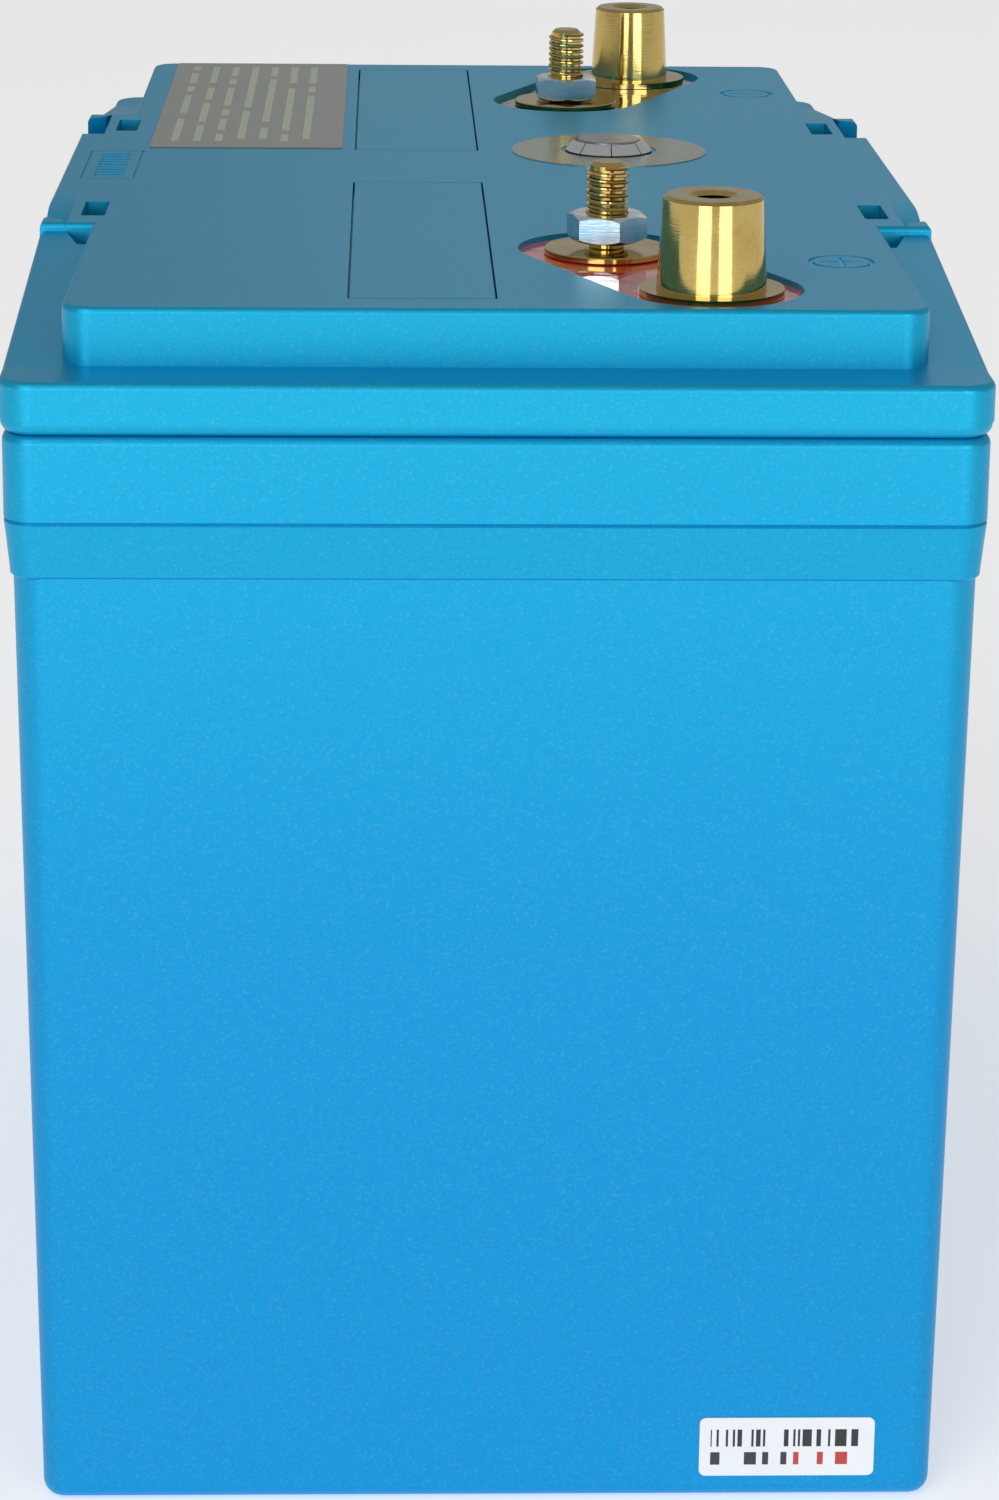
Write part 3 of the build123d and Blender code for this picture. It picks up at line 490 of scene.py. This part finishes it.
def finishes() -> list[Finish]:
    """Every finish, one for each material slot of the record."""
    button = middle("button_body")
    info_low, info_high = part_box("info_label")
    serial_low, serial_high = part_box("serial_label")
    margin = 0.002
    left, right = serial_low[0] + margin, serial_high[0] - margin
    serial_top = serial_high[2]
    bars = (serial_top - 0.0057, serial_top - 0.0023, 0.00042)
    blocks = (serial_top - 0.0093, serial_top - 0.0068, 0.0011)
    serial_rows = (
        (left, right, *bars, linear(20, 20, 22)),
        (left, serial_low[0] + 0.016, *blocks, linear(35, 35, 38)),
        (serial_low[0] + 0.017, right, *blocks, linear(190, 45, 40)),
    )
    return [
        MouldedFinish("case_blue", linear(0, 152, 214), linear(0, 147, 209),
                      Sheen.METALLIC_MOULDED, (0.37, 0.42),
                      grain=3400, mottle=900, bump=0.00001),
        MarkedFinish("lid_blue", linear(0, 158, 214), linear(0, 152, 208),
                     Sheen.METALLIC_MOULDED, (0.37, 0.42),
                     grain=3400, mottle=900, bump=0.00001, marks=((0.0631, -0.0988), (0.0631, 0.0988)),
                     below=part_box("lid")[1][2] - 0.00008, ink=linear(60, 196, 238)),
        BrushedFinish("terminal_brass", linear(214, 190, 118), linear(188, 160, 92),
                      Sheen.METAL, (0.06, 0.14),
                      grain=1500, mottle=160, bump=0.00001),
        BrushedFinish("nut_steel", linear(236, 242, 244), linear(212, 219, 222),
                      Sheen.METAL, (0.16, 0.28),
                      mottle=220, bump=0.00002),
        ResinFinish("positive_resin", linear(238, 66, 58), linear(212, 38, 34),
                    Sheen.RESIN, (0.05, 0.12),
                    mottle=90, bump=0.0009),
        ResinFinish("negative_resin", linear(30, 30, 34), linear(14, 14, 17), Sheen.RESIN, (0.05, 0.12),
                    mottle=90, bump=0.0009),
        FacetFinish("bezel_steel", linear(240, 242, 244), linear(222, 225, 228),
                    Sheen.METAL, (0.08, 0.16),
                    bump=0.00001, centre=(button.x, button.y), segments=8, line_share=0.035),
        BrushedFinish("cap_steel", linear(168, 171, 176), linear(130, 133, 139),
                      Sheen.METAL, (0.25, 0.38),
                      along=(1.0, 14.0, 1.0), bump=0.00001),
        Finish("seal_rubber", linear(24, 24, 25), linear(14, 14, 15), Sheen.MATTE, (0.6, 0.8)),
        BrushedFinish("spring_steel", linear(150, 152, 156), linear(110, 112, 117), Sheen.METAL),
        StripFinish("info_film", linear(104, 112, 96), linear(90, 98, 84), Sheen.FILM, (0.16, 0.28),
                    start_x=info_low[0] + 0.004, end_x=info_high[0] - 0.004,
                    start_y=info_low[1] + 0.008, end_y=info_high[1] - 0.006, ink=linear(168, 190, 142)),
        RingFinish("button_film", linear(150, 162, 140), linear(126, 138, 118),
                   Sheen.SILVER_FILM, (0.18, 0.32),
                   centre=(button.x, button.y), segments=20, line_share=0.55, ink=linear(138, 160, 144)),
        StickerFinish("serial_film", linear(240, 241, 243), linear(228, 230, 233),
                      Sheen.FILM, (0.25, 0.38),
                      bands=serial_rows),
        BrushedFinish("cell_can", linear(60, 96, 150), linear(40, 72, 122), Sheen.MOULDED, (0.3, 0.45)),
        BrushedFinish("copper", linear(205, 125, 84), linear(168, 92, 56), Sheen.METAL, (0.2, 0.35)),
        BrushedFinish("tinned_copper", linear(190, 191, 193), linear(152, 153, 156),
                      Sheen.METAL, (0.22, 0.36)),
        BrushedFinish("plain_steel", linear(172, 174, 178), linear(130, 132, 137),
                      Sheen.METAL, (0.22, 0.38)),
        Finish("insulation", linear(222, 216, 196), linear(204, 197, 174), Sheen.MATTE, (0.5, 0.7)),
        BrushedFinish("end_plate", linear(190, 192, 195), linear(158, 160, 164),
                      Sheen.METAL, (0.3, 0.45)),
        Finish("foam", linear(54, 54, 57), linear(34, 34, 37),
               Sheen.MATTE, (0.8, 0.95), 1400, 300, 0.0002),
        Finish("tray_plastic", linear(46, 47, 50), linear(32, 33, 36), Sheen.MOULDED, (0.45, 0.6)),
        Finish("board_green", linear(28, 112, 66), linear(16, 86, 48), Sheen.FILM, (0.25, 0.4)),
        Finish("component_black", linear(36, 36, 39), linear(24, 24, 27), Sheen.MATTE, (0.45, 0.6)),
        BrushedFinish("sink_aluminium", linear(184, 186, 190), linear(150, 152, 157),
                      Sheen.METAL, (0.3, 0.45)),
        Finish("connector_white", linear(232, 230, 218), linear(216, 213, 198),
               Sheen.MOULDED, (0.4, 0.55)),
        Finish("red_lead", linear(188, 36, 30), linear(156, 24, 20), Sheen.MATTE, (0.4, 0.55)),
        Finish("black_lead", linear(30, 30, 32), linear(18, 18, 20), Sheen.MATTE, (0.4, 0.55)),
        Finish("thin_wire", linear(196, 176, 64), linear(166, 146, 44), Sheen.MATTE, (0.4, 0.55)),
    ]


class Wardrobe:
    """Builds the finishes and puts each node in its own."""

    def __init__(self) -> None:
        """Builds the groups and every material."""
        self.effects = Effects()
        self.materials = {finish.slot: finish.build(self.effects) for finish in finishes()}

    def wear(self, item: bpy.types.Object, slot: str) -> None:
        """Gives an object the material of a slot.

        Args:
            item: The object to dress.
            slot: The record's slot name.
        """
        item.data.materials.clear()
        item.data.materials.append(self.materials[slot])

    def dress_frame(self) -> None:
        """Dresses every CAD node as the record says."""
        for part in frame["record"]["subparts"]:
            self.wear(frame["nodes"][part["node"]], part["material_slot"])


def turned(name: str, profile: Profile, x: float, y: float, steps: int = 96) -> bpy.types.Object:
    """A turned solid about an upright axis.

    Args:
        name: The object's name.
        profile: Radius and height pairs, from the bottom's middle to the top's middle.
        x: The axis's place across.
        y: The axis's place along.
        steps: How many facets go round.

    Returns:
        The new object, at the origin with its place in its mesh.
    """
    shape = bmesh.new()
    rings = []
    for radius, height in profile:
        if radius == 0:
            rings.append([shape.verts.new((x, y, height))])
            continue
        ring = []
        for step in range(steps):
            turn = 2 * math.pi * step / steps
            place = (x + radius * math.cos(turn), y + radius * math.sin(turn), height)
            ring.append(shape.verts.new(place))
        rings.append(ring)
    for low, high in zip(rings, rings[1:]):
        for i in range(steps):
            j = (i + 1) % steps
            loop = [low[i % len(low)], low[j % len(low)], high[j % len(high)], high[i % len(high)]]
            shape.faces.new(list(dict.fromkeys(loop)))
    bmesh.ops.recalc_face_normals(shape, faces=shape.faces[:])
    mesh = bpy.data.meshes.new(name)
    shape.to_mesh(mesh)
    shape.free()
    item = bpy.data.objects.new(name, mesh)
    bpy.context.collection.objects.link(item)
    return item


class ThreadTree:
    """The node tree that winds a thread's ridge round a core, with its sizes as inputs."""

    steps: int = 40
    sides: int = 8

    def __init__(self) -> None:
        """Builds the tree."""
        self.tree = bpy.data.node_groups.new("thread", "GeometryNodeTree")
        face = self.tree.interface
        face.new_socket("Geometry", in_out="INPUT", socket_type="NodeSocketGeometry")
        self.ids = {}
        for name in ("Turns", "Middle Radius", "Ridge Radius", "Height"):
            socket = face.new_socket(name, in_out="INPUT", socket_type="NodeSocketFloat")
            self.ids[name] = socket.identifier
        place = face.new_socket("Foot", in_out="INPUT", socket_type="NodeSocketVector")
        metal = face.new_socket("Material", in_out="INPUT", socket_type="NodeSocketMaterial")
        self.ids.update({"Foot": place.identifier, "Material": metal.identifier})
        face.new_socket("Geometry", in_out="OUTPUT", socket_type="NodeSocketGeometry")
        wires = Wiring(self.tree)
        given = wires.add("NodeGroupInput").outputs
        spiral = wires.add("GeometryNodeCurveSpiral", {
            "Resolution": self.steps, "Rotations": given["Turns"],
            "Start Radius": given["Middle Radius"],
            "End Radius": given["Middle Radius"], "Height": given["Height"]})
        section = wires.add("GeometryNodeCurvePrimitiveCircle", {
            "Resolution": self.sides, "Radius": given["Ridge Radius"]})
        ridge = wires.add("GeometryNodeCurveToMesh", {
            "Curve": spiral.outputs[0], "Profile Curve": section.outputs[0], "Fill Caps": True})
        moved = wires.add("GeometryNodeTransform", {
            "Geometry": ridge.outputs[0], "Translation": given["Foot"]})
        joined = wires.add("GeometryNodeJoinGeometry")
        wires.tree.links.new(given["Geometry"], joined.inputs[0])
        wires.tree.links.new(moved.outputs[0], joined.inputs[0])
        real = wires.add("GeometryNodeRealizeInstances", {"Geometry": joined.outputs[0]})
        dressed = wires.add("GeometryNodeSetMaterial", {
            "Geometry": real.outputs[0], "Material": given["Material"]})
        wires.add("NodeGroupOutput", {0: dressed.outputs[0]})

    def wind(self, core: bpy.types.Object, values: dict[str, Any]) -> None:
        """Winds the ridge on a core, bakes it and leaves no modifier.

        Args:
            core: The object to wind on. Its mesh is changed.
            values: The tree's inputs, by name.
        """
        winding = core.modifiers.new("thread", "NODES")
        winding.node_group = self.tree
        for name, value in values.items():
            winding[self.ids[name]] = value
        ready = core.evaluated_get(bpy.context.evaluated_depsgraph_get())
        baked = bpy.data.meshes.new_from_object(ready)
        core.modifiers.remove(winding)
        core.data = baked


@dataclass
class ThreadedStud:
    """A stud with its flange and a real thread, in place of the plain CAD stud. Sizes are in metres."""

    node: str
    body: str = "battery"
    crest: float = 0.00394
    ridge: float = 0.00036
    pitch: float = 0.00125
    flange_radius: float = 0.0114
    flange_thickness: float = 0.0012
    free_length: float = 0.0159
    chamfer: float = 0.0007
    run_out: float = 0.0009
    edge: float = 0.0002
    sharp_from: float = math.radians(32)

    def build(self, wardrobe: Wardrobe, threads: ThreadTree) -> bpy.types.Object:
        """Builds the stud and hides the CAD one.

        Args:
            wardrobe: The finishes.
            threads: The thread's node tree.

        Returns:
            The stud.
        """
        low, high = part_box(self.node)
        centre = middle(self.node)
        top = high[2]
        flange_top = top - self.free_length
        root = self.crest - 2 * self.ridge
        under = flange_top - self.flange_thickness
        edge = self.edge
        profile = [
            (0, low[2]), (self.crest, low[2]), (self.crest, under), (self.flange_radius - edge, under),
            (self.flange_radius, under + edge), (self.flange_radius, flange_top - edge),
            (self.flange_radius - edge, flange_top), (root + edge, flange_top),
            (root, flange_top + edge),
            (root, top - self.chamfer), (root - self.chamfer, top), (0, top),
        ]
        stud = turned(self.node + "_threaded", profile, centre.x, centre.y)
        height = self.free_length - 2 * self.run_out
        threads.wind(stud, {
            "Turns": height / self.pitch, "Middle Radius": self.crest - self.ridge,
            "Ridge Radius": self.ridge, "Height": height,
            "Foot": (centre.x, centre.y, flange_top + self.run_out),
            "Material": wardrobe.materials["terminal_brass"]})
        for face in stud.data.polygons:
            face.use_smooth = True
        stud.data.set_sharp_from_angle(angle=self.sharp_from)
        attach(stud, self.body)
        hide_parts(self.node)
        return stud


@dataclass
class ReturnSpring:
    """The button's coil, which shortens as the button goes down on the real battery but is kept here in
    its CAD shape. Sizes are in metres.
    """

    node: str = "button_spring"
    joint: str = "button_press"
    body: str = "battery"
    weld: float = 0.000001

    def build(self, wardrobe: Wardrobe) -> bpy.types.Object:
        """Copies the CAD coil and hides the CAD one.

        Args:
            wardrobe: The finishes.

        Returns:
            The coil.
        """
        mesh = frame["nodes"][self.node].data.copy()
        shape = bmesh.new()
        shape.from_mesh(mesh)
        bmesh.ops.remove_doubles(shape, verts=shape.verts[:], dist=self.weld)
        shape.to_mesh(mesh)
        shape.free()
        coil = bpy.data.objects.new(self.node + "_coil", mesh)
        bpy.context.collection.objects.link(coil)
        wardrobe.wear(coil, "spring_steel")
        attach(coil, self.body)
        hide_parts(self.node)
        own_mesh(coil)
        return coil


@dataclass
class Studio:
    """The floor, the lights and the camera. Places are in metres and turns in radians."""

    camera_at: Point = (-0.018693, -0.797974, 0.355495)
    yaw: float = -0.02937
    pitch: float = 0.25256
    roll: float = 0.01021
    lens: float = 94.977
    shift_down: float = 0.17333
    aim_height: float = 0.12
    floor_side: float = 12.0
    sky_strength: float = 0.34
    floor_glow: float = 0.42
    lights: list[tuple[str, Point, float, float]] = field(default_factory=lambda: [
        ("key", (-0.7, -1.3, 1.5), 1.0, 5.5),
        ("front_left", (-0.82, -2.2, 0.45), 1.15, 12.5),
        ("front_right", (0.95, -2.2, 0.45), 1.15, 12.5),
        ("back", (0.4, 1.9, 1.3), 1.2, 1.2),
    ])

    def build(self) -> None:
        """Makes the floor, the lights, the sky and the camera."""
        self._floor()
        for name, place, side, power in self.lights:
            self._light(name, place, side, power)
        self._sky()
        self._camera()

    def _floor(self) -> None:
        """A plain pale floor."""
        half = self.floor_side / 2
        mesh = bpy.data.meshes.new("floor")
        corners = [(-half, -half, 0), (half, -half, 0), (half, half, 0), (-half, half, 0)]
        mesh.from_pydata(corners, [], [(0, 1, 2, 3)])
        floor = bpy.data.objects.new("floor", mesh)
        bpy.context.collection.objects.link(floor)
        material = bpy.data.materials.new("floor")
        material.use_nodes = True
        shader = material.node_tree.nodes["Principled BSDF"]
        shader.inputs["Base Color"].default_value = (0.93, 0.93, 0.93, 1.0)
        shader.inputs["Roughness"].default_value = 0.7
        shader.inputs["Emission Color"].default_value = (1.0, 1.0, 1.0, 1.0)
        shader.inputs["Emission Strength"].default_value = self.floor_glow
        mesh.materials.append(material)

    def _light(self, name: str, place: Point, side: float, power: float) -> None:
        """A soft square light that faces the battery's middle."""
        lamp = bpy.data.lights.new(name, "AREA")
        lamp.size = side
        lamp.energy = power
        item = bpy.data.objects.new(name, lamp)
        item.location = place
        aim = Vector((0, 0, self.aim_height)) - Vector(place)
        item.rotation_euler = aim.to_track_quat("-Z", "Y").to_euler()
        bpy.context.collection.objects.link(item)

    def _sky(self) -> None:
        """An even white surround."""
        world = bpy.data.worlds.new("surround")
        world.use_nodes = True
        wires = Wiring(world.node_tree)
        ground = world.node_tree.nodes["Background"]
        seen = wires.add("ShaderNodeLightPath").outputs["Is Camera Ray"]
        wires.feed(ground.inputs["Color"], (1.0, 1.0, 1.0))
        wires.feed(ground.inputs["Strength"], wires.ramp(seen, 0.0, 1.0, self.sky_strength, 1.0))
        bpy.context.scene.world = world
        bpy.context.scene.view_settings.view_transform = "Standard"

    def _camera(self) -> None:
        """The camera, low in front of the positive end."""
        level_share = math.cos(self.pitch)
        ahead = Vector((-math.sin(self.yaw) * level_share, math.cos(self.yaw) * level_share,
                        -math.sin(self.pitch)))
        level = Vector((math.cos(self.yaw), math.sin(self.yaw), 0.0))
        up = level.cross(ahead)
        right = level * math.cos(self.roll) + up * math.sin(self.roll)
        up = right.cross(ahead)
        turn = Matrix((right, up, -ahead)).transposed().to_4x4()
        data = bpy.data.cameras.new("camera")
        data.lens = self.lens
        data.sensor_width = 36.0
        data.shift_y = -self.shift_down
        data.clip_start = 0.01
        data.clip_end = 50.0
        item = bpy.data.objects.new("camera", data)
        item.matrix_world = Matrix.Translation(Vector(self.camera_at)) @ turn
        bpy.context.collection.objects.link(item)
        bpy.context.scene.camera = item


def main() -> None:
    """Dresses the battery, builds the threads and sets up the studio."""
    logging.basicConfig(level=logging.INFO, format="%(name)s: %(message)s")
    wardrobe = Wardrobe()
    wardrobe.dress_frame()
    log.info("dressed %d nodes", len(frame["nodes"]))
    threads = ThreadTree()
    for node in ("positive_stud", "negative_stud"):
        stud = ThreadedStud(node).build(wardrobe, threads)
        log.info("%s has %d faces", stud.name, len(stud.data.polygons))
    spring = ReturnSpring().build(wardrobe)
    log.info("%s has %d faces", spring.name, len(spring.data.polygons))
    Studio().build()
    log.info("studio ready")


if __name__ == "__main__":
    main()
